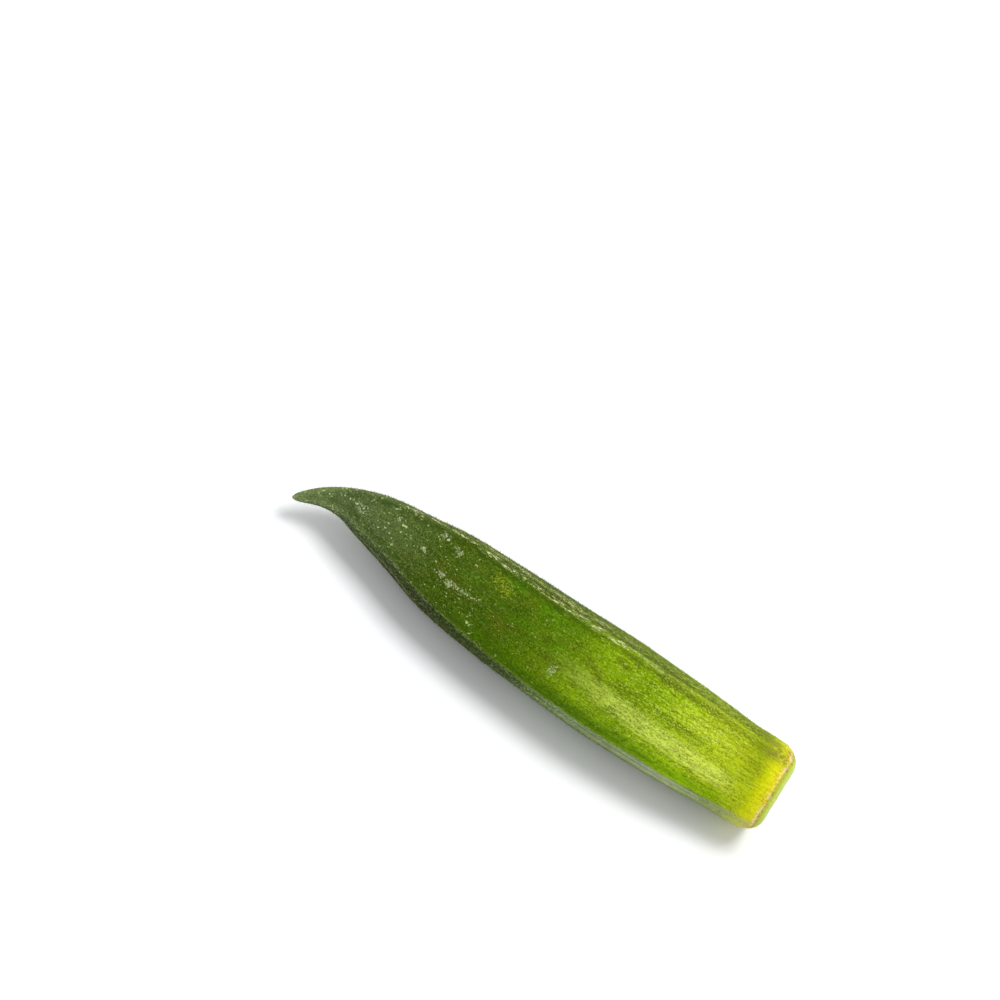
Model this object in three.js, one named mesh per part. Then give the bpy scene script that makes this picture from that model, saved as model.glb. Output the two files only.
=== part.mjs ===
// An okra pod as picked and trimmed: one solid, because it grew as one piece. Five ridges run from the
// blunt trimmed end, with its ring scar and short stub of stalk, to a slim hooked tip.
// Millimetres, +Z up. The pod lies on one of its flat sides, tip towards -X, broad side up towards -Y.
import * as THREE from "three";

const { degToRad, lerp, smoothstep } = THREE.MathUtils;

// The middle line from the centre of the cut face to the tip: x back from the cut, y across, z up.
const MIDDLE_LINE = [
  [-0.15, 0.85, 10.1],
  [13, 0.1, 10.25],
  [25, -0.55, 10.8],
  [41, -0.95, 11.15],
  [57, -0.65, 10.7],
  [73, 0.2, 10.1],
  [85, 1.2, 9.75],
  [97, 2.3, 9.5],
  [103, 2.4, 9.25],
  [109, 1.95, 8.8],
  [114, 0.3, 8.05],
  [119.4, -3.2, 6.65],
];

// The outline square on to the broad side: distance along the middle line from the cut, half width.
const LENGTH = 121;
const OUTLINE = [
  [0, 7.5],
  [0.25, 8.1],
  [0.7, 8.75],
  [1.2, 9.2],
  [1.75, 9.5],
  [2.3, 9.8],
  [3.2, 10.05],
  [6, 10.25],
  [10, 10.2],
  [15, 10.6],
  [24, 11.15],
  [33, 11.4],
  [41, 11.6],
  [49, 11.4],
  [57, 11.1],
  [66, 10.85],
  [74, 10.4],
  [80, 9.95],
  [86, 9.15],
  [93, 7.5],
  [100, 6.15],
  [105, 4.85],
  [109, 3.45],
  [113, 2.3],
  [117, 1.45],
  [119.5, 0.9],
  [120.6, 0.5],
  [LENGTH, 0],
];

// The section is a rounded pentagon, crisper towards the tip, with its widest side swelling a little.
// Ridges are placed by angle from the middle of that broad side. The section turns slightly on the way
// to the tip.
const RIDGE_ANGLES = [48, 114, 180, 246, 312];
const BROAD_SIDE_TILT = 57;
const BROAD_SIDE_SWELL = 0.075;
const CRISPNESS = { cutEnd: 3.8, body: 7, tip: 9 };
const ROUND_END_REACH = 30;
const TIP_STARTS = 75;
const TWIST = { angle: 8, from: 55, to: 100 };

// Each ridge carries a thin rib with a shallow groove on both sides. It fades out towards the ring scar,
// and is lower where the pod's half width is under fullAt.
const RIB = { height: 0.35, halfWidth: 0.85, grooveDepth: 0.16, grooveOffset: 1.9, fullAt: 7 };
const RIB_FADE = { from: 2, to: 14 };

// Mesh fineness: rings between two outline points, facets on each side of the pentagon, and how far
// the facets crowd towards the ridges.
const RINGS_PER_SPAN = 2.5;
const FACETS_PER_SIDE = 12;
const CROWDING = 0.6;

const SKIN = { color: 0x5f8020, roughness: 0.55, metalness: 0 };

const sides = RIDGE_ANGLES.map((ridge, i) => {
  const next = RIDGE_ANGLES[i + 1] ?? RIDGE_ANGLES[0] + 360;
  return { start: degToRad(ridge), span: degToRad(next - ridge) };
});

// Distance of the skin from the middle line at an angle, as a share of the ridge's own distance.
function roundedPentagon(angle, crispness) {
  const pull = sides.reduce((total, { start, span }) => {
    const facing = Math.cos(angle - start - span / 2) / Math.cos(span / 2);
    return total + Math.max(0, facing) ** crispness;
  }, 0);
  const fromMiddle = Math.abs(Math.atan2(Math.sin(angle), Math.cos(angle))) / degToRad(RIDGE_ANGLES[0]);
  const swell = BROAD_SIDE_SWELL * Math.cos((Math.PI / 2) * Math.min(1, fromMiddle)) ** 2;
  return (pull / 2) ** (-1 / crispness) + swell;
}

// Height of the rib and its grooves at an offset around the pod from the nearest ridge.
function ribHeight(offset, strength) {
  const { height, halfWidth, grooveDepth, grooveOffset } = RIB;
  const rib = height * Math.exp(-((offset / halfWidth) ** 2));
  const groove = grooveDepth * Math.exp(-(((offset - grooveOffset) / halfWidth) ** 2));
  return (rib - groove) * strength;
}

function crispnessAt(distance) {
  const body = lerp(CRISPNESS.cutEnd, CRISPNESS.body, smoothstep(distance, 0, ROUND_END_REACH));
  return lerp(body, CRISPNESS.tip, smoothstep(distance, TIP_STARTS, LENGTH));
}

// The angles of one ring's points, counted from the middle of the broad side, closer at the ridges.
function ringAngles() {
  const angles = [];
  for (const { start, span } of sides) {
    for (let i = 0; i < FACETS_PER_SIDE; i++) {
      const share = i / FACETS_PER_SIDE;
      const crowded = share - (CROWDING * Math.sin(2 * Math.PI * share)) / (2 * Math.PI);
      const nearest = Math.min(crowded, 1 - crowded) * span;
      angles.push({ angle: start + crowded * span, nearest });
    }
  }
  return angles;
}

const middleLine = new THREE.CatmullRomCurve3(
  MIDDLE_LINE.map(([x, y, z]) => new THREE.Vector3(-x, y, z)),
  false,
  "centripetal",
);
const outline = new THREE.CatmullRomCurve3(
  OUTLINE.map(([distance, halfWidth]) => new THREE.Vector3(distance, halfWidth, 0)),
  false,
  "centripetal",
);

// One ring of points square to the middle line. What would sink below the surface is pressed flat.
function ring(distance, halfWidth, angles) {
  const share = Math.min(1, distance / LENGTH);
  const centre = middleLine.getPointAt(share);
  const tangent = middleLine.getTangentAt(share);
  const up = new THREE.Vector3(0, 0, 1).addScaledVector(tangent, -tangent.z).normalize();
  const across = new THREE.Vector3().crossVectors(tangent, up);
  const crispness = crispnessAt(distance);
  const twist = degToRad(TWIST.angle) * smoothstep(distance, TWIST.from, TWIST.to);
  const sideways = angles.map(({ angle }) => roundedPentagon(angle, crispness) * Math.sin(angle + twist));
  const spread = (Math.max(...sideways) - Math.min(...sideways)) / 2;
  const strength = smoothstep(distance, RIB_FADE.from, RIB_FADE.to) * Math.min(1, halfWidth / RIB.fullAt);
  const crest = halfWidth / spread;
  return angles.map(({ angle, nearest }) => {
    const radius = crest * roundedPentagon(angle, crispness) + ribHeight(nearest * crest, strength);
    const turn = degToRad(BROAD_SIDE_TILT) + angle + twist;
    const point = centre.clone();
    point.addScaledVector(across, -Math.cos(turn) * radius);
    point.addScaledVector(up, Math.sin(turn) * radius);
    point.z = Math.max(0, point.z);
    return point;
  });
}

function podGeometry() {
  const angles = ringAngles();
  const ringCount = Math.round((OUTLINE.length - 1) * RINGS_PER_SPAN);
  const points = [];
  for (let i = 0; i < ringCount; i++) {
    const { x: distance, y: halfWidth } = outline.getPoint(i / ringCount);
    points.push(...ring(distance, halfWidth, angles));
  }
  const cutCentre = points.push(middleLine.getPointAt(0)) - 1;
  const tip = points.push(middleLine.getPointAt(1)) - 1;

  const faces = [];
  const around = angles.length;
  for (let j = 0; j < around; j++) {
    const next = (j + 1) % around;
    faces.push(cutCentre, next, j);
    for (let i = 0; i < ringCount - 1; i++) {
      const near = i * around;
      const far = near + around;
      faces.push(near + j, near + next, far + next, near + j, far + next, far + j);
    }
    const last = (ringCount - 1) * around;
    faces.push(last + j, last + next, tip);
  }
  const geometry = new THREE.BufferGeometry().setFromPoints(points);
  geometry.setIndex(faces);
  geometry.computeBoundingBox();
  const { min, max } = geometry.boundingBox;
  geometry.translate(-(min.x + max.x) / 2, -(min.y + max.y) / 2, -min.z);
  geometry.computeVertexNormals();
  return geometry;
}

const pod = new THREE.Mesh(podGeometry(), new THREE.MeshStandardMaterial(SKIN));
pod.name = "okra_pod";

const part = new THREE.Group();
part.add(pod);

export default part;
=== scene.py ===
import math

import bmesh
import bpy
from mathutils import Matrix, Vector


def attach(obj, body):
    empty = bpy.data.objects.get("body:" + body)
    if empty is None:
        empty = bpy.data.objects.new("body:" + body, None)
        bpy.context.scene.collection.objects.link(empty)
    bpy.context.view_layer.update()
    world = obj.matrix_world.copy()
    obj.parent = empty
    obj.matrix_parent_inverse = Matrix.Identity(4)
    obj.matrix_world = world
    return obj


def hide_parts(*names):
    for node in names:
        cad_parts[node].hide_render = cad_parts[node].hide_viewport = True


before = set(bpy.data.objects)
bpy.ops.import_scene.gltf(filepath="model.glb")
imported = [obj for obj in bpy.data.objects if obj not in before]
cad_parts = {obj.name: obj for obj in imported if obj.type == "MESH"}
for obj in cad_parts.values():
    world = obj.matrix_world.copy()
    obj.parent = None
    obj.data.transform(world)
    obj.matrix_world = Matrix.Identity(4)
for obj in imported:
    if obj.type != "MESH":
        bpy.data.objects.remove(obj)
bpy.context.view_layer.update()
MM = 0.001

# The pod: a five-ridged seed case of firm green flesh, grown as one piece from stalk to hooked tip. It is
# drawn out straight, ring by ring, from the cut end to the tip, then bent along its middle line and fitted
# to the solid that the checks use. Its fine skin, with wrinkles, folds and the ring scar, comes last.
LENGTH = 121.34
RING_POINTS = 60
# Distance from the cut, radius out to the ridges, and rings drawn on the way there, all in millimetres.
FIRST_RING = (0.4, 9.2)
DRAWING_OUT = [
    (0.75, 9.65, 1), (1.1, 10.0, 1), (1.4, 10.2, 1), (1.6, 10.35, 1), (1.8, 10.5, 1), (2.1, 10.65, 1),
    (2.8, 10.95, 1), (6.3, 11.4, 4), (15, 12.3, 5), (24, 13.0, 5), (41, 13.75, 8), (57, 13.1, 8),
    (74, 12.1, 9), (86, 10.8, 7), (93, 9.0, 4), (100, 7.4, 4), (105, 5.95, 3), (109, 4.35, 3),
    (113, 3.0, 3), (117, 2.0, 3), (119.5, 1.35, 2), (120.7, 0.8, 1),
]
# The ring starts a little turned, so that a point falls on each ridge.
RING_START = math.radians(3)
TWIST = {"turn": math.radians(8), "from": 55, "to": 100}
# The middle line from the tip to the centre of the cut face, in the frame.
MIDDLE_LINE = [
    (-59.989, -2.266, 6.65), (-54.589, 1.234, 8.05), (-49.589, 2.884, 8.8), (-43.589, 3.334, 9.25),
    (-37.589, 3.234, 9.5), (-25.589, 2.134, 9.75), (-13.589, 1.134, 10.1), (2.411, 0.284, 10.7),
    (18.411, -0.016, 11.15), (34.411, 0.384, 10.8), (46.411, 1.034, 10.25), (59.561, 1.784, 10.1),
]
# Ridges are placed by angle from the middle of the broad side, which is turned up and towards the viewer.
BROAD_SIDE_TURN = math.radians(57)
RIDGES = [math.radians(ridge) for ridge in (48, 114, 180, 246, 312)]
CLEARANCE = 0.08


def twist_at(distance):
    share = min(1, max(0, (distance - TWIST["from"]) / (TWIST["to"] - TWIST["from"])))
    return TWIST["turn"] * share * share * (3 - 2 * share)


bpy.ops.object.select_all(action="DESELECT")
reached, radius = FIRST_RING
bpy.ops.mesh.primitive_circle_add(
    vertices=RING_POINTS, radius=radius * MM, fill_type="NGON",
    location=((LENGTH - reached) * MM, 0, 0), rotation=(0, math.pi / 2, 0),
)
pod = bpy.context.object
pod.name = "pod"
bpy.ops.object.transform_apply(location=True, rotation=True, scale=True)
bpy.ops.object.mode_set(mode="EDIT")
bpy.ops.transform.rotate(
    value=RING_START, orient_axis="X", orient_type="GLOBAL",
    center_override=((LENGTH - reached) * MM, 0, 0),
)
for distance, next_radius, rings in DRAWING_OUT:
    step = (distance - reached) / rings
    growth = (next_radius / radius) ** (1 / rings)
    for _ in range(rings):
        turn = twist_at(reached + step) - twist_at(reached)
        reached += step
        middle = ((LENGTH - reached) * MM, 0, 0)
        bpy.ops.mesh.extrude_region_move(TRANSFORM_OT_translate={"value": (-step * MM, 0, 0)})
        bpy.ops.transform.resize(value=(1, growth, growth), center_override=middle)
        if turn:
            bpy.ops.transform.rotate(
                value=turn, orient_axis="X", orient_type="GLOBAL", center_override=middle,
            )
    radius = next_radius
bpy.ops.mesh.extrude_region_move(TRANSFORM_OT_translate={"value": ((reached - LENGTH) * MM, 0, 0)})
bpy.ops.mesh.merge(type="CENTER")
bpy.ops.mesh.select_all(action="SELECT")
bpy.ops.mesh.normals_make_consistent(inside=False)
bpy.ops.object.mode_set(mode="OBJECT")

# Before the pod is bent, each point keeps its place on the straight one: distance from the cut, place across
# the broad side, and height above the middle line. The skin's pattern follows it. It also keeps how far the
# nearest ridge is.
pod.data.attributes.new("grain", "FLOAT_VECTOR", "POINT")
pod.data.attributes.new("from_ridge", "FLOAT", "POINT")
grain = pod.data.attributes["grain"].data
ridge_reach = pod.data.attributes["from_ridge"].data
for point in pod.data.vertices:
    from_cut = LENGTH * MM - point.co.x
    out = math.hypot(point.co.y, point.co.z)
    angle = math.atan2(point.co.z, -point.co.y) - BROAD_SIDE_TURN - twist_at(from_cut / MM)
    grain[point.index].vector = (from_cut, out * math.sin(angle), out * math.cos(angle))
    ridge_reach[point.index].value = out * min(
        abs(math.remainder(angle - ridge, 2 * math.pi)) for ridge in RIDGES
    )

line = bpy.data.curves.new("middle_line", "CURVE")
line.dimensions = "3D"
line.twist_mode = "Z_UP"
line.resolution_u = 48
spline = line.splines.new("BEZIER")
spline.bezier_points.add(len(MIDDLE_LINE) - 1)
for bend_point, place in zip(spline.bezier_points, MIDDLE_LINE):
    bend_point.co = Vector(place) * MM
    bend_point.handle_left_type = bend_point.handle_right_type = "AUTO"
middle_line = bpy.data.objects.new("middle_line", line)
bpy.context.collection.objects.link(middle_line)


def use_modifier(kind, **settings):
    """Adds a modifier to the active object, sets it and applies it."""
    bpy.ops.object.modifier_add(type=kind)
    modifier = bpy.context.object.modifiers[-1]
    for name, value in settings.items():
        setattr(modifier, name, value)
    bpy.ops.object.modifier_apply(modifier=modifier.name)


use_modifier("CURVE", object=middle_line, deform_axis="POS_X")
bpy.data.objects.remove(middle_line)
use_modifier(
    "SHRINKWRAP", target=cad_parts["okra_pod"], wrap_method="NEAREST_SURFACEPOINT",
    offset=CLEARANCE * MM,
)

# The cut face is closed in from the first ring: a rounded rim, then the flesh in rings to its middle. Each
# ring has its size against the ring before, its move outwards, and its place in the skin's pattern, which
# runs on inwards below zero.
CUT_RINGS = [
    (0.962, 0.38, 0.05), (0.945, 0.27, -0.3), (0.925, 0.12, -0.8), (0.85, -0.08, -2.0), (0.78, -0.06, -3.4),
    (0.68, 0.05, -4.9), (0.5, 0.06, -6.5),
]
SKIN_ENDS_AT = -0.4
CUT_CENTRE = Vector((59.56, 1.78, 10.1))


def select_points(wanted):
    """Selects the points that wanted says yes to, given each point and its place on the straight pod."""
    bm = bmesh.from_edit_mesh(pod.data)
    layer = bm.verts.layers.float_vector["grain"]
    bpy.ops.mesh.select_all(action="DESELECT")
    for point in bm.verts:
        point.select = wanted(point, point[layer] / MM)
    bm.select_flush(True)
    bmesh.update_edit_mesh(pod.data)


bpy.ops.object.material_slot_add()
bpy.ops.object.material_slot_add()
bpy.ops.object.mode_set(mode="EDIT")
select_points(lambda point, place: place.x < FIRST_RING[0] + 0.1)
for narrower, outwards, pattern_place in CUT_RINGS:
    bpy.ops.mesh.extrude_region_move(TRANSFORM_OT_translate={"value": (outwards * MM, 0, 0)})
    bm = bmesh.from_edit_mesh(pod.data)
    grain_layer = bm.verts.layers.float_vector["grain"]
    ring = [point for point in bm.verts if point.select]
    for point in ring:
        point[grain_layer].x = pattern_place * MM
    ring_centre = CUT_CENTRE * MM
    ring_centre.x = sum(point.co.x for point in ring) / len(ring)
    bmesh.update_edit_mesh(pod.data)
    bpy.ops.transform.resize(value=(narrower, narrower, narrower), center_override=ring_centre)
bpy.ops.mesh.merge(type="CENTER")
bm = bmesh.from_edit_mesh(pod.data)
grain_layer = bm.verts.layers.float_vector["grain"]
for face in bm.faces:
    inmost = min(point[grain_layer].x for point in face.verts) / MM
    face.material_index = 1 if inmost < SKIN_ENDS_AT else 0
bmesh.update_edit_mesh(pod.data)

# Soft folds run along the pod near the cut end. Each has its angle from the middle of the broad side, its
# start and end, and its height.
FOLDS = [
    (-17, 7, 46, 0.16), (18, 6, 44, -0.2), (31, 7, 38, 0.1), (-34, 10, 60, -0.1), (78, 8, 50, -0.12),
    (-82, 8, 56, -0.12),
]
# Each is raised or sunk in two steps: half the angle that a step covers, and how far it stops short of both
# ends.
FOLD_STEPS = [(10, 0), (4, 4)]


def angle_on_pod(place):
    return math.degrees(math.atan2(place.y, place.z))


for fold_angle, start, end, height in FOLDS:
    for half_angle, short_by in FOLD_STEPS:
        select_points(lambda point, place: (
            start + short_by < place.x < end - short_by
            and abs(angle_on_pod(place) - fold_angle) < half_angle
        ))
        bpy.ops.transform.shrink_fatten(value=height / len(FOLD_STEPS) * MM)

# The operators above number points and faces differently each time. Here they are put in order along and
# around the pod, so that its down falls on the same spots each time.
bm = bmesh.from_edit_mesh(pod.data)
grain_layer = bm.verts.layers.float_vector["grain"]
ring_step = 360 / RING_POINTS


def order_of_point(point):
    """By thousandths of a millimetre along the pod, then by steps around it."""
    place = point[grain_layer] / MM
    around = (angle_on_pod(place) + ring_step / 2) % 360 // ring_step
    return round(place.x * 1000) * RING_POINTS + around


def order_of_part(part):
    """By the numbers of its points, the lowest first."""
    order = 0
    for index in sorted(point.index for point in part.verts):
        order = order * len(bm.verts) + index
    return order


bm.verts.sort(key=order_of_point)
bm.verts.index_update()
bm.edges.sort(key=order_of_part)
bm.faces.sort(key=order_of_part)
bmesh.update_edit_mesh(pod.data)
bpy.ops.object.mode_set(mode="OBJECT")

use_modifier("SUBSURF", levels=2, render_levels=2)


def roughen(name, size, stretch, height, where):
    """Pushes the skin in and out with clouds that are drawn out along the pod. Size and height are in mm."""
    bpy.ops.object.empty_add(scale=(stretch * MM, MM, MM))
    guide = bpy.context.object
    bpy.context.view_layer.update()
    clouds = bpy.data.textures.new(name, "CLOUDS")
    clouds.noise_scale = size
    clouds.noise_depth = 2
    bpy.ops.object.select_all(action="DESELECT")
    bpy.context.view_layer.objects.active = pod
    pod.select_set(True)
    use_modifier(
        "DISPLACE", texture=clouds, texture_coords="OBJECT", texture_coords_object=guide,
        strength=height * MM, mid_level=0.5, vertex_group=where,
    )
    bpy.data.objects.remove(guide)


def group_points(name, weight_at):
    """Makes a vertex group on the pod, with each point's weight from its distance from the cut."""
    group = pod.vertex_groups.new(name=name)
    places = pod.data.attributes["grain"].data
    for point in pod.data.vertices:
        weight = weight_at((places[point.index].vector / MM).x)
        if weight > 0:
            group.add([point.index], min(1, weight), "REPLACE")


def rise(distance, low, high, least=0.0):
    """0 at low and 1 at high, but never under least."""
    return max(least, min(1, (distance - low) / (high - low)))


SCAR_AT = 1.3
SCAR_REACH = 0.6
group_points("wrinkled", lambda distance: rise(distance, 2, 7) * rise(distance, 62, 32, 0.12))
group_points("scar", lambda distance: rise(abs(distance - SCAR_AT) / SCAR_REACH, 1, 0))
group_points("body", lambda distance: rise(distance, 0, 4) * rise(distance, 120, 108))
roughen("lumps", 4.0, 2.2, 0.32, "body")
roughen("wrinkles", 0.55, 7.0, 0.16, "wrinkled")
roughen("pores", 0.35, 1.5, 0.05, "body")
roughen("scar_edge", 0.45, 1.0, 0.3, "scar")
bpy.ops.object.mode_set(mode="EDIT")
select_points(lambda point, place: point.co.z < 0)
bpy.ops.transform.resize(value=(1, 1, 0), center_override=(0, 0, 0))
bpy.ops.object.mode_set(mode="OBJECT")
pod.vertex_groups.clear()
bpy.ops.object.shade_smooth()

# The skin's colour: yellow at the ring scar, bright green behind it, and dark grey-green towards the tip.
green = bpy.data.materials.new("green_skin")
green.use_nodes = True
tree = green.node_tree


def set_inputs(node, inputs):
    """Links each input to the socket given for it, or sets it to the value."""
    for name, value in inputs.items():
        if isinstance(value, bpy.types.NodeSocket):
            tree.links.new(value, node.inputs[name])
        else:
            node.inputs[name].default_value = value


def add_node(kind, inputs=None, **settings):
    """Adds a node to the tree in hand, sets it and its inputs."""
    node = tree.nodes.new(kind)
    for name, value in settings.items():
        setattr(node, name, value)
    set_inputs(node, inputs or {})
    return node


def calculate(operation, first, second=0.0, third=0.0):
    return add_node("ShaderNodeMath", {0: first, 1: second, 2: third}, operation=operation).outputs[0]


def calculate_vector(operation, first, second=(0, 0, 0)):
    return add_node("ShaderNodeVectorMath", {0: first, 1: second}, operation=operation).outputs[0]


def scaled(vector, along, across, up=None):
    """The vector with its parts multiplied, so that a pattern is drawn out where the factor is small."""
    return calculate_vector("MULTIPLY", vector, (along, across, across if up is None else up))


def in_mm(vector):
    return scaled(vector, 1 / MM, 1 / MM)


def place_on_pod():
    """Millimetres from the cut, across the broad side and above the middle line, on the straight pod."""
    return in_mm(add_node("ShaderNodeAttribute", attribute_name="grain").outputs["Vector"])


def flip(mask):
    return calculate("SUBTRACT", 1.0, mask)


def apart(value, middle):
    """How far the value is from the middle, either way."""
    return calculate("ABSOLUTE", calculate("SUBTRACT", value, middle))


def between(value, low, high):
    """0 at low, 1 at high, and soft in between."""
    inputs = {"Value": value, "From Min": low, "From Max": high}
    return add_node("ShaderNodeMapRange", inputs, interpolation_type="SMOOTHSTEP").outputs[0]


def strip(value, middle, core, edge):
    """1 within core of the middle, fading to 0 at edge."""
    return between(apart(value, middle), edge, core)


def stretch(value, start, full_from, full_to, end):
    """Rises from start to full_from, and falls from full_to to end."""
    return calculate("MULTIPLY", between(value, start, full_from), between(value, end, full_to))


def times(*masks):
    product = masks[0]
    for mask in masks[1:]:
        product = calculate("MULTIPLY", product, mask)
    return product


def swing(value, amount, around):
    """A cloud value, centred on one half, as a change of up to half the amount around another value."""
    return calculate("MULTIPLY_ADD", calculate("SUBTRACT", value, 0.5), amount, around)


def noise(vector, scale, detail=2.0, roughness=0.5, distortion=0.0):
    return add_node("ShaderNodeTexNoise", {
        "Vector": vector, "Scale": scale, "Detail": detail, "Roughness": roughness, "Distortion": distortion,
    }).outputs[0]


def paint(red, green_part, blue):
    """A screen colour from 0 to 255 as the linear colour that the shader takes."""
    parts = [part / 255 for part in (red, green_part, blue)]
    return [part / 12.92 if part <= 0.04045 else ((part + 0.055) / 1.055) ** 2.4 for part in parts] + [1.0]


def lay(coat_below, coat_above, amount):
    """One colour over another, by an amount from 0 to 1."""
    inputs = {0: amount, 6: coat_below, 7: coat_above}
    return add_node("ShaderNodeMix", inputs, data_type="RGBA", clamp_factor=True).outputs[2]


def shaded(colour, tone):
    """The colour, darker or lighter by a tone around 1."""
    return add_node("ShaderNodeVectorMath", {0: colour, "Scale": tone}, operation="SCALE").outputs[0]


def ramp(value, end, stops):
    """A run of colours, each at its own distance, with the distance measured from 0 to end."""
    node = add_node("ShaderNodeValToRGB", {0: calculate("DIVIDE", value, end)})
    colours = node.color_ramp.elements
    for index, (place, colour) in enumerate(stops):
        element = colours[index] if index < 2 else colours.new(place / end)
        element.position = place / end
        element.color = paint(*colour)
    return node.outputs[0]


place = place_on_pod()
from_cut, across, above = add_node("ShaderNodeSeparateXYZ", {0: place}).outputs
angle = calculate("MULTIPLY", calculate("ARCTAN2", across, above), math.degrees(1))
ridge_node = add_node("ShaderNodeAttribute", attribute_name="from_ridge")
from_ridge = calculate("MULTIPLY", ridge_node.outputs["Fac"], 1 / MM)

# Clouds at several sizes, in millimetres: wide tone changes, blotches, drawn-out streaks and fine grain.
wide = noise(scaled(place, 0.6, 1.0), 0.11, 2)
blotches = noise(scaled(place, 0.55, 1.0), 0.38, 3, 0.55, 0.4)
streaks = noise(scaled(place, 0.22, 1.5), 1.0, 3, 0.6)
strokes = noise(scaled(place, 0.5, 1.5), 1.9, 2, 0.65, 0.3)
cross_strokes = noise(scaled(place, 1.5, 0.6), 1.8, 2, 0.6, 0.5)
stipple = noise(place, 2.6, 3, 0.7)
specks = noise(scaled(place, 0.9, 1.1), 3.1, 1, 0.5)
side_specks = noise(scaled(place, 0.8, 0.42), 2.7, 2, 0.6)
wobble = calculate("SUBTRACT", noise(place, 0.32, 1), 0.5)
shifted = swing(wide, 20.0, from_cut)
angle_wobbled = swing(blotches, 11.0, angle)
near_cut = between(from_cut, 66, 26)
past_band = between(from_cut, 5, 9)
furrows = noise(scaled(place, 0.12, 1.0), 0.85, 2, 0.5, 0.4)
crumbs = noise(place, 1.3, 1, 0.5)
scratches = noise(scaled(place, 0.4, 1.0), 2.3, 2, 0.7)
clumps = noise(scaled(place, 0.6, 1.0), 0.5, 2, 0.6)

skin = ramp(shifted, LENGTH, [
    (0, (172, 186, 16)), (14, (168, 186, 18)), (24, (154, 184, 4)), (34, (120, 152, 0)), (46, (122, 154, 0)),
    (57, (82, 114, 0)), (70, (62, 90, 0)), (84, (64, 87, 10)), (98, (73, 92, 42)), (108, (92, 110, 64)),
    (118, (106, 122, 74)),
])
# Across the broad side: a pale band, partly paler skin and partly painted highlight, a saturated band beside
# the lower ridge, and darker creases, which are painted shade.
pale_middle = calculate("MULTIPLY_ADD", from_cut, 0.3, -21.5)
from_pale = calculate("SUBTRACT", swing(streaks, 7.0, angle), pale_middle)
pale_band_and_highlight = times(strip(from_pale, 0, 5, 14), stretch(from_cut, 8, 15, 38, 60), between(strokes, 0.3, 0.52))
pale_green_and_highlight = ramp(from_cut, LENGTH, [(14, (212, 228, 88)), (36, (194, 214, 84)), (58, (116, 138, 40))])
skin = lay(skin, pale_green_and_highlight, times(pale_band_and_highlight, 0.92))
vivid = ramp(from_cut, LENGTH, [
    (8, (138, 168, 4)), (20, (130, 170, 0)), (32, (104, 144, 0)), (46, (80, 118, 0)), (66, (72, 104, 0)),
    (84, (60, 86, 8)),
])
vivid_band = times(strip(angle_wobbled, -41, 6, 15), stretch(from_cut, 7, 12, 72, 92))
skin = lay(skin, vivid, times(vivid_band, 0.95))
upper_vivid = times(
    strip(angle_wobbled, 22, 10, 26), stretch(from_cut, 44, 54, 66, 84), between(wide, 0.66, 0.46),
)
skin = lay(skin, paint(76, 122, 0), times(upper_vivid, 0.8))
olive_clouds = noise(scaled(place, 0.7, 1.0), 0.24, 3, 0.6)
banded = calculate("MAXIMUM", vivid_band, times(pale_band_and_highlight, 0.85))
olive = times(between(olive_clouds, 0.5, 0.62), stretch(from_cut, 14, 30, 84, 104), flip(banded))
skin = lay(skin, paint(84, 92, 10), times(olive, 0.5))
# Painted shade along a crease on the broad side.
crease_shade = times(strip(angle_wobbled, 8, 2, 9), stretch(from_cut, 16, 24, 36, 46))
skin = lay(skin, paint(112, 142, 0), times(crease_shade, 0.7))
upper_pale = times(
    strip(angle_wobbled, 22, 3, 12), stretch(from_cut, 12, 18, 24, 32), between(strokes, 0.35, 0.6),
)
skin = lay(skin, paint(198, 218, 60), times(upper_pale, 0.85))
# Painted shade in a strip just under the upper ridge, near the cut.
under_ridge_shade = times(strip(angle, 42, 3, 10), stretch(from_cut, 3, 7, 24, 44))
skin = lay(skin, paint(118, 134, 14), times(under_ridge_shade, 0.6))

# The strip below the lower ridge is grey-green near the cut, partly its own colour and partly a painted
# sheen of the down seen edge-on, and very dark from the middle on, which is painted shadow. The far side is
# duller than the broad one.
lower_side_sheen_and_shadow = ramp(swing(blotches, 14.0, from_cut), LENGTH, [
    (3, (160, 166, 112)), (14, (138, 152, 104)), (24, (174, 184, 156)), (40, (136, 150, 116)),
    (48, (122, 142, 98)), (54, (92, 114, 58)), (61, (36, 54, 0)), (92, (22, 34, 0)),
    (104, (52, 66, 24)), (116, (84, 96, 62)),
])
below = stretch(swing(streaks, 14.0, angle), -126, -98, -50, -45)
skin = lay(skin, lower_side_sheen_and_shadow, times(below, past_band))
far_side = ramp(from_cut, LENGTH, [
    (3, (112, 120, 12)), (20, (112, 136, 0)), (34, (76, 100, 0)), (56, (68, 88, 2)), (76, (64, 84, 16)),
    (100, (58, 74, 24)), (118, (80, 94, 52)),
])
beyond = stretch(angle, 49, 57, 84, 112)
skin = lay(skin, far_side, times(beyond, past_band))

# Fine texture: thin dark creases of painted shade, light and dark streaks that are strongest near the cut,
# and pores.
furrow_shade = times(
    between(apart(furrows, 0.5), 0.02, 0.003), stretch(from_cut, 5, 12, 44, 66), between(blotches, 0.4, 0.6),
)
skin = lay(skin, paint(86, 104, 0), times(furrow_shade, 0.6))
blotch_depth = calculate("MULTIPLY_ADD", near_cut, -0.65, 0.9)
streak_depth = calculate("MULTIPLY_ADD", near_cut, 1.3, 0.5)
stroke_depth = calculate("MULTIPLY_ADD", near_cut, -0.3, 0.9)
tone = times(
    swing(wide, 0.6, 1.0), swing(blotches, blotch_depth, 1.0), swing(streaks, streak_depth, 1.0),
    swing(stipple, 2.6, 1.0), swing(cross_strokes, stroke_depth, 1.0),
)
skin = shaded(skin, calculate("MINIMUM", calculate("MAXIMUM", tone, 0.28), 1.2))

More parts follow.
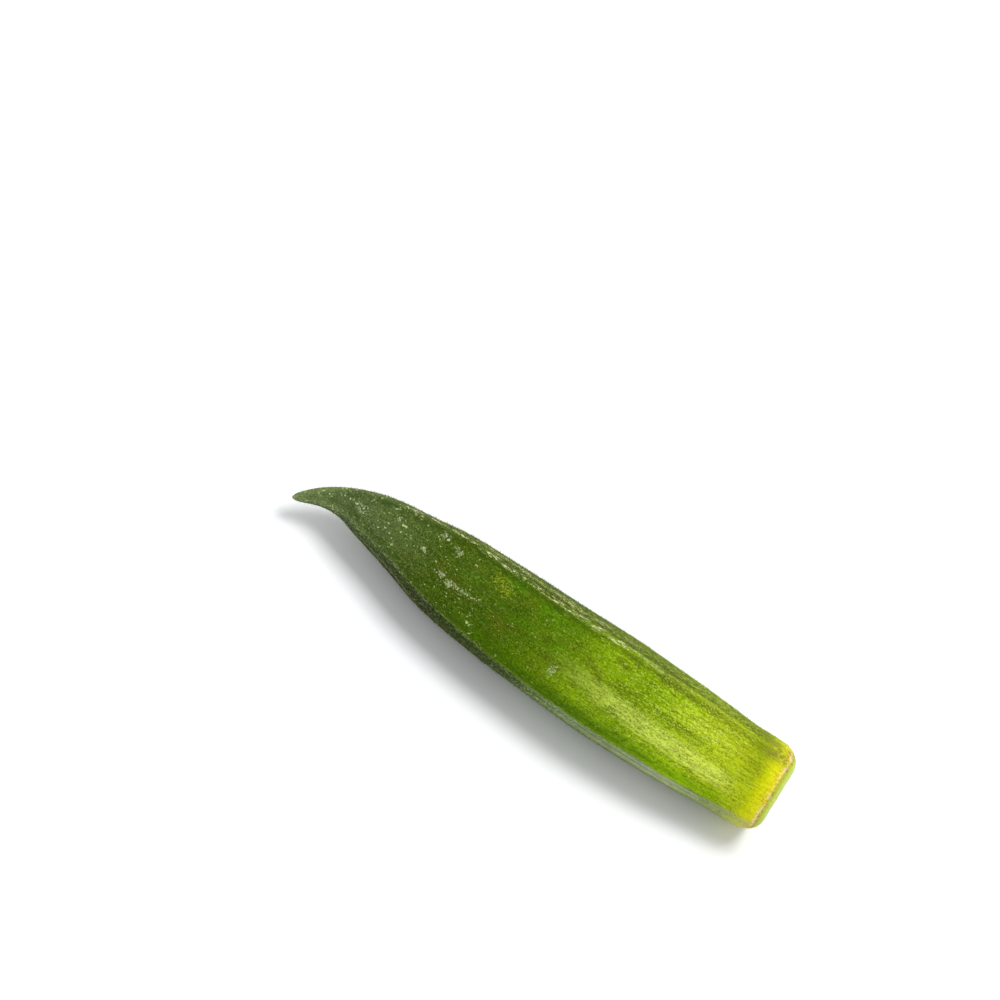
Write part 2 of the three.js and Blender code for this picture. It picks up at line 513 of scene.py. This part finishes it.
# Pale strokes, specks, crumbs and down lie on it, and fewer of them on the saturated band.
plain = flip(times(vivid_band, 0.75))
pale_strokes = times(between(strokes, 0.54, 0.66), calculate("MULTIPLY_ADD", near_cut, 0.5, 0.1), plain)
skin = lay(skin, paint(204, 222, 74), pale_strokes)
pale_specks = times(between(specks, 0.6, 0.7), between(from_cut, 4, 20), plain)
speck_green = ramp(from_cut, LENGTH, [(20, (216, 228, 112)), (60, (156, 180, 64)), (100, (160, 174, 120))])
speck_strength = swing(between(from_cut, 80, 104), 0.1, 0.3)
speck_strength = calculate("MULTIPLY_ADD", between(from_cut, 64, 30), 0.55, speck_strength)
skin = lay(skin, speck_green, times(pale_specks, speck_strength))
tip_crumbs = calculate("MULTIPLY_ADD", between(from_cut, 84, 104), 0.04, crumbs)
bright_crumbs = times(
    between(tip_crumbs, 0.69, 0.74), between(from_cut, 44, 76), between(blotches, 0.36, 0.56),
)
skin = lay(skin, paint(194, 206, 140), times(bright_crumbs, 0.85))
grey_down = times(between(cross_strokes, 0.6, 0.72), between(from_cut, 50, 95), plain)
skin = lay(skin, paint(128, 146, 92), times(grey_down, 0.4))

# Flecks and streaks of the far side, as far as it faces up, and of the strip below the lower ridge.
far_upper = times(beyond, between(angle, 100, 72))
side_cover = calculate("MULTIPLY_ADD", between(from_cut, 24, 50), -0.07, 0.6)
flecked = times(between(calculate("SUBTRACT", side_specks, side_cover), 0.0, 0.08), between(from_cut, 6, 12))
fleck_strength = calculate("MULTIPLY_ADD", between(from_cut, 30, 56), 0.3, 0.3)
skin = lay(skin, paint(182, 196, 60), times(far_upper, flecked, between(streaks, 0.3, 0.55), fleck_strength))
side_streaks = times(far_upper, between(strokes, 0.5, 0.42), stretch(from_cut, 6, 12, 50, 72))
skin = lay(skin, paint(72, 84, 0), times(side_streaks, 0.55))
side_lights = times(far_upper, between(strokes, 0.56, 0.62), stretch(from_cut, 6, 12, 34, 50))
skin = lay(skin, paint(206, 214, 64), times(side_lights, 0.5))
lower_streaks = times(between(streaks, 0.52, 0.42), below, stretch(from_cut, 8, 14, 48, 60))
skin = lay(skin, paint(84, 106, 52), times(lower_streaks, 0.28))
# Painted shade along the lowest part of the strip below the lower ridge, from near the cut to the middle.
painted_lower_shade = times(
    stretch(swing(wide, 10.0, angle), -126, -106, -90, -74), stretch(from_cut, 8, 14, 50, 64),
)
skin = lay(skin, paint(74, 94, 50), times(painted_lower_shade, 0.6))
lower_fleck_strength = calculate("MULTIPLY_ADD", between(from_cut, 68, 48), 0.43, 0.12)
skin = lay(skin, paint(204, 214, 180), times(flecked, below, lower_fleck_strength))

# Ridges are rubbed pale, and the upper one is scuffed to the dry fibre. A darker line of painted shade runs
# along the foot of each.
rubbed = times(between(from_ridge, 1.1, 0.2), between(scratches, 0.48, 0.6), between(from_cut, 8, 30))
rub_strength = calculate("MULTIPLY_ADD", between(angle, 20, 30), -0.32, 0.5)
skin = lay(skin, paint(164, 178, 110), times(rubbed, rub_strength))
fibres = times(between(scratches, 0.52, 0.57), between(clumps, 0.4, 0.52), between(stipple, 0.38, 0.48))
scuff_reach = ramp(from_cut, LENGTH, [
    (30, (220, 220, 220)), (62, (172, 172, 172)), (78, (160, 160, 160)), (90, (90, 90, 90)),
])
scuff_width = calculate("MULTIPLY_ADD", scuff_reach, 10.0, 3.0)
off_ridge = calculate("DIVIDE", apart(swing(blotches, 14.0, angle), 49.0), scuff_width)
scuff = times(between(off_ridge, 1.0, 0.3), stretch(from_cut, 24, 48, 92, 106), fibres)
skin = lay(skin, paint(236, 234, 180), scuff)
edge_scuff = times(strip(swing(blotches, 16.0, angle), 70, 3, 11), stretch(from_cut, 36, 50, 76, 84), fibres)
skin = lay(skin, paint(224, 222, 164), times(edge_scuff, 0.95))
lower_edge = times(
    strip(swing(wide, 6.0, angle), -86, 1.5, 4), stretch(from_cut, 84, 90, 102, 108),
    between(strokes, 0.4, 0.55),
)
skin = lay(skin, paint(160, 172, 116), times(lower_edge, 0.8))
# Painted shade along the foot of each ridge.
foot_shade = times(strip(from_ridge, 2.1, 0.3, 1.2), between(from_cut, 14, 30), between(streaks, 0.4, 0.55))
skin = lay(skin, paint(48, 66, 6), times(foot_shade, 0.5))

# Dried patches lie on the broad side, as a film that breaks into cracks and dots. Each has its place from
# the cut and across, and its reach both ways.
cracks = apart(noise(place, 1.2, 2, 0.6, 0.8), 0.5)
film = calculate("MAXIMUM", between(cracks, 0.05, 0.015), between(stipple, 0.57, 0.63))
DRIED = [
    ((106.8, 0.6), (1.1, 0.9)), ((105.6, -0.6), (1.2, 0.9)), ((84.4, -1.9), (1.5, 1.0)),
    ((81.6, -2.4), (1.7, 1.0)), ((79.0, -2.2), (1.3, 0.8)), ((76.4, -1.8), (2.0, 0.6)),
    ((54.0, -4.2), (0.9, 1.3)), ((98.4, 2.4), (0.7, 0.5)), ((95.8, 5.7), (1.2, 0.7)),
    ((88.6, 5.6), (1.1, 0.9)), ((90.5, 0.4), (1.0, 0.7)), ((84.2, 4.6), (1.2, 0.8)),
]


def dried_patch(skin_below, at, size, colour, amount):
    away = scaled(calculate_vector("SUBTRACT", place, (*at, 0)), 1 / size[0], 1 / size[1], 0)
    away = add_node("ShaderNodeVectorMath", {0: away}, operation="LENGTH").outputs["Value"]
    mask = times(between(swing(crumbs, 3.6, away), 1.0, 0.5), between(above, 0, 1), film)
    return lay(skin_below, colour, times(mask, amount))


for at, size in DRIED:
    skin = dried_patch(skin, at, size, paint(194, 203, 156), 0.9)
skin = dried_patch(skin, (72.1, 5.2), (3.2, 1.8), paint(170, 178, 44), 0.6)

# The cut end: a yellow band with a soft streaked inner edge, the ring scar with its brown flecks, and the
# stub of stalk beyond it.
olive_shoulder = stretch(swing(streaks, 5.0, from_cut), 3.5, 6.5, 8, 13)
skin = lay(skin, paint(116, 130, 14), times(olive_shoulder, between(angle, -20, 20), 0.4))
band_edge = swing(streaks, 6.0, calculate("MULTIPLY_ADD", wobble, 5.0, from_cut))
band = between(band_edge, 8.0, 3.0)
gold = ramp(swing(stipple, 2.0, from_cut), 8, [
    (0.9, (236, 216, 100)), (1.7, (232, 220, 44)), (4.2, (220, 220, 14)), (7.5, (188, 200, 8)),
])
gold = shaded(gold, times(swing(streaks, 0.8, 1.0), swing(stipple, 0.9, 1.0)))
skin = lay(skin, gold, times(band, 0.92))
upper_shoulder = times(
    strip(angle, 52, 8, 24), stretch(from_cut, 0.5, 2.5, 5.5, 9.5), between(strokes, 0.35, 0.6),
)
skin = lay(skin, paint(124, 120, 56), times(upper_shoulder, 0.8))
lower_shoulder = times(
    strip(angle, -62, 8, 20), stretch(from_cut, 0.8, 2.5, 6, 9), between(strokes, 0.3, 0.55),
)
skin = lay(skin, paint(180, 180, 130), times(lower_shoulder, 0.75))
scar = calculate("MULTIPLY_ADD", wobble, 0.8, swing(cross_strokes, 0.9, from_cut))
rust = times(strip(scar, 2.1, 0.4, 1.5), between(cross_strokes, 0.48, 0.62), between(clumps, 0.4, 0.56))
skin = lay(skin, paint(200, 140, 44), times(rust, 0.75))
crust = times(strip(swing(stipple, 3.2, scar), 1.5, 0.1, 0.8), between(noise(place, 0.6, 2), 0.44, 0.56))
skin = lay(skin, paint(244, 226, 170), times(crust, 0.9))
skin = lay(skin, paint(196, 154, 60), times(strip(scar, 1.2, 0.1, 0.5), 0.6))
stub = ramp(swing(strokes, 1.0, from_cut), 2, [
    (0.1, (206, 220, 112)), (0.7, (184, 204, 72)), (1.3, (160, 186, 44)),
])
skin = lay(skin, stub, between(scar, 1.25, 0.95))
brown = times(strip(swing(stipple, 0.6, scar), 1.15, 0.03, 0.28), between(strokes, 0.44, 0.56))
skin = lay(skin, paint(118, 84, 34), times(brown, between(crumbs, 0.4, 0.6), 0.85))
dry_tip = between(swing(stipple, 2.0, from_cut), 120.4, 121.2)
skin = lay(skin, paint(160, 164, 118), dry_tip)

# Relief finer than the mesh: grain, streaks near the cut, and the specks of down.
relief = calculate("MULTIPLY_ADD", streaks, calculate("MULTIPLY_ADD", near_cut, 1.1, 0.3), stipple)
relief = calculate("MULTIPLY_ADD", strokes, 0.7, relief)
relief = calculate("MULTIPLY_ADD", cross_strokes, 0.4, relief)
RELIEF_HEIGHT = 0.3 * MM
skin_bump = add_node("ShaderNodeBump", {"Height": relief, "Strength": 0.9, "Distance": RELIEF_HEIGHT})
set_inputs(tree.nodes["Principled BSDF"], {
    "Base Color": skin, "Roughness": swing(stipple, 0.4, 0.6), "Normal": skin_bump.outputs[0],
    "Specular IOR Level": 0.03, "Sheen Weight": 0.012, "Sheen Roughness": 0.4,
    "Sheen Tint": (0.78, 0.86, 0.66, 1),
})
pod.data.materials[0] = green

# The flesh on the cut face is pale and moist: a cream middle, olive wedges of fibre, and a glassy ring at
# the rim.
FLESH_REACH = 8
flesh = bpy.data.materials.new("cut_flesh")
flesh.use_nodes = True
tree = flesh.node_tree
from_rim = calculate("MULTIPLY", add_node("ShaderNodeSeparateXYZ", {0: place_on_pod()}).outputs[0], -1.0)
spot = calculate_vector("SUBTRACT", in_mm(add_node("ShaderNodeTexCoord").outputs["Object"]), CUT_CENTRE)
direction = calculate_vector("NORMALIZE", scaled(spot, 0, 1))
wedges = noise(scaled(direction, 1.6, 1.6), 1.0, 2, 0.6)
rays = noise(scaled(direction, 9, 9), 1.0, 2, 0.6)
flesh_grain = noise(spot, 2.2, 3, 0.65)
patches = noise(spot, 0.6, 2, 0.5, 0.6)
depth_in = swing(patches, 2.6, swing(wedges, 1.6, from_rim))
cream = ramp(from_rim, FLESH_REACH, [
    (0.35, (78, 112, 42)), (0.6, (150, 178, 96)), (0.95, (208, 220, 156)), (2.0, (206, 214, 142)),
])
inner = ramp(depth_in, FLESH_REACH, [
    (2.2, (196, 200, 104)), (3.4, (212, 206, 132)), (4.8, (230, 218, 176)), (6.5, (238, 226, 196)),
])
cream = lay(cream, inner, between(depth_in, 1.4, 2.6))
olive_wedge = times(
    strip(depth_in, 3.0, 0.5, 1.7), between(wedges, 0.44, 0.6), between(flesh_grain, 0.3, 0.55),
)
cream = lay(cream, paint(170, 158, 40), times(olive_wedge, 0.7))
fibre_rays = times(between(rays, 0.5, 0.66), stretch(from_rim, 1.0, 2.0, 4.0, 6.5))
cream = lay(cream, paint(186, 176, 96), times(fibre_rays, 0.5))
cream = shaded(cream, times(swing(flesh_grain, 0.6, 1.0), swing(rays, 0.35, 1.0)))
flesh_relief = calculate("MULTIPLY_ADD", rays, 0.6, flesh_grain)
flesh_bump = add_node("ShaderNodeBump", {"Height": flesh_relief, "Strength": 0.6, "Distance": RELIEF_HEIGHT})
set_inputs(tree.nodes["Principled BSDF"], {
    "Base Color": cream, "Roughness": swing(flesh_grain, 0.3, 0.5), "Normal": flesh_bump.outputs[0],
    "Specular IOR Level": 0.3,
})
pod.data.materials[1] = flesh
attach(pod, "root")
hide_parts("okra_pod")

# The down: short pale hairs that stand out of the skin and lean towards the tip. One hair is a closed spike
# of four faces, copied all over the skin but for the cut face and the part near the floor.
HAIR_LENGTH = 0.43
HAIR_THICKNESS = 0.07
HAIRS_PER_SQUARE_MM = 2.2
# The shortest and the longest hair, as shares of that length.
HAIR_SHARES = (0.5, 1.35)
# Height above the floor, and place along the frame, from where the skin is bare to where its down is full.
BARE_NEAR_FLOOR = (0.9, 2.5)
BARE_NEAR_CUT = (58.5, 57)
LEAN_TO_TIP = 0.9
UNREST = 0.8
bpy.ops.object.select_all(action="DESELECT")
bpy.ops.mesh.primitive_cone_add(
    vertices=3, radius1=HAIR_THICKNESS / 2 * MM, radius2=0, depth=HAIR_LENGTH * MM,
    location=(0, 0, HAIR_LENGTH / 2 * MM),
)
hair = bpy.context.object
hair.name = "hair"
bpy.ops.object.transform_apply(location=True, rotation=True, scale=True)
bpy.ops.mesh.primitive_plane_add(size=MM)
down = bpy.context.object
down.name = "down"

tree = bpy.data.node_groups.new("scatter_down", "GeometryNodeTree")
tree.interface.new_socket("Geometry", in_out="OUTPUT", socket_type="NodeSocketGeometry")
skin_source = add_node("GeometryNodeObjectInfo", {"Object": pod})
hair_source = add_node("GeometryNodeObjectInfo", {"Object": hair})
spot = add_node("GeometryNodeInputPosition").outputs[0]
along, _, height = add_node("ShaderNodeSeparateXYZ", {0: spot}).outputs
clear_of_floor = between(height, *(limit * MM for limit in BARE_NEAR_FLOOR))
clear_of_cut = between(along, *(limit * MM for limit in BARE_NEAR_CUT))
thick = times(clear_of_floor, clear_of_cut, HAIRS_PER_SQUARE_MM / MM / MM)
scatter = add_node(
    "GeometryNodeDistributePointsOnFaces",
    {"Mesh": skin_source.outputs["Geometry"], "Density": thick, "Seed": 7},
)
towards_tip = calculate_vector("ADD", scatter.outputs["Normal"], (-LEAN_TO_TIP, 0, 0))
unrest = add_node(
    "FunctionNodeRandomValue", {0: (-UNREST, -UNREST, -UNREST), 1: (UNREST, UNREST, UNREST), "Seed": 11},
    data_type="FLOAT_VECTOR",
)
lean = calculate_vector("ADD", towards_tip, unrest.outputs[0])
turned = add_node("FunctionNodeAlignRotationToVector", {"Vector": lean}, axis="Z")
length = add_node(
    "FunctionNodeRandomValue", {2: HAIR_SHARES[0], 3: HAIR_SHARES[1], "Seed": 23}, data_type="FLOAT",
)
planted = add_node("GeometryNodeInstanceOnPoints", {
    "Points": scatter.outputs["Points"], "Instance": hair_source.outputs["Geometry"],
    "Rotation": turned.outputs[0], "Scale": length.outputs[1],
})
grown = add_node("GeometryNodeRealizeInstances", {0: planted.outputs[0]})
tree.links.new(grown.outputs[0], tree.nodes.new("NodeGroupOutput").inputs[0])
use_modifier("NODES", node_group=tree)
bpy.data.objects.remove(hair)

pale = bpy.data.materials.new("pale_down")
pale.use_nodes = True
tree = pale.node_tree
spot = add_node("ShaderNodeTexCoord").outputs["Object"]
along = add_node("ShaderNodeSeparateXYZ", {0: spot}).outputs[0]
hair_colour = lay(paint(84, 108, 10), paint(160, 182, 40), between(along, 0, 45 * MM))
hair_colour = lay(hair_colour, paint(120, 134, 88), between(along, -25 * MM, -50 * MM))
palest = between(noise(in_mm(spot), 1.2, 1), 0.5, 0.7)
hair_colour = lay(hair_colour, paint(200, 212, 100), palest)
set_inputs(tree.nodes["Principled BSDF"], {
    "Base Color": hair_colour, "Roughness": 0.6, "Specular IOR Level": 0.05,
})
down.data.materials.clear()
down.data.materials.append(pale)
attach(down, "root")

# The floor: a plain white studio sweep of matt paper, laid flat. It lies a hair's breadth below the pod, so
# that the two never share a surface.
FLOOR_GAP = 0.02
bpy.ops.object.select_all(action="DESELECT")
bpy.ops.mesh.primitive_plane_add(size=4, location=(0, 0, -FLOOR_GAP * MM))
floor = bpy.context.object
floor.name = "floor"
white = bpy.data.materials.new("white_sweep")
white.use_nodes = True
set_inputs(white.node_tree.nodes["Principled BSDF"], {
    "Base Color": (0.88, 0.88, 0.88, 1), "Roughness": 0.9, "Specular IOR Level": 0.0,
})
floor.data.materials.append(white)

# The light: a bright white room, and one large soft box above and a little behind the pod.
room = bpy.data.worlds.new("white_room")
bpy.context.scene.world = room
room.use_nodes = True
set_inputs(room.node_tree.nodes["Background"], {"Color": (0.955, 0.97, 1, 1), "Strength": 0.75})
LIGHT_AIMS_AT = Vector((0, 0, 0.01))
bpy.ops.object.light_add(type="AREA", location=(0.12, 0.22, 0.8))
soft_box = bpy.context.object
soft_box.name = "soft_box"
soft_box.data.shape = "SQUARE"
soft_box.data.size = 0.35
soft_box.data.energy = 4.5
soft_box.rotation_euler = (LIGHT_AIMS_AT - soft_box.location).to_track_quat("-Z", "Y").to_euler()

# The camera: the photograph's view. It looks down at 57.5 degrees, square to the pod's length, and is
# rolled by 34 degrees.
LOOKS_DOWN = math.radians(57.5)
ROLL = math.radians(34)
CAMERA_AT = Vector((-23.19, -297.295, 514.587))
ahead = Vector((0, math.cos(LOOKS_DOWN), -math.sin(LOOKS_DOWN)))
upright = Vector((0, math.sin(LOOKS_DOWN), math.cos(LOOKS_DOWN)))
right = math.cos(ROLL) * Vector((1, 0, 0)) + math.sin(ROLL) * upright
up = -math.sin(ROLL) * Vector((1, 0, 0)) + math.cos(ROLL) * upright
lens = bpy.data.cameras.new("camera")
lens.lens = 100
lens.sensor_width = 36
lens.clip_start = 0.01
camera = bpy.data.objects.new("camera", lens)
bpy.context.collection.objects.link(camera)
facing = Matrix((right, up, -ahead)).transposed().to_4x4()
camera.matrix_world = Matrix.Translation(CAMERA_AT * MM) @ facing
bpy.context.scene.camera = camera
bpy.context.scene.view_settings.view_transform = "Standard"
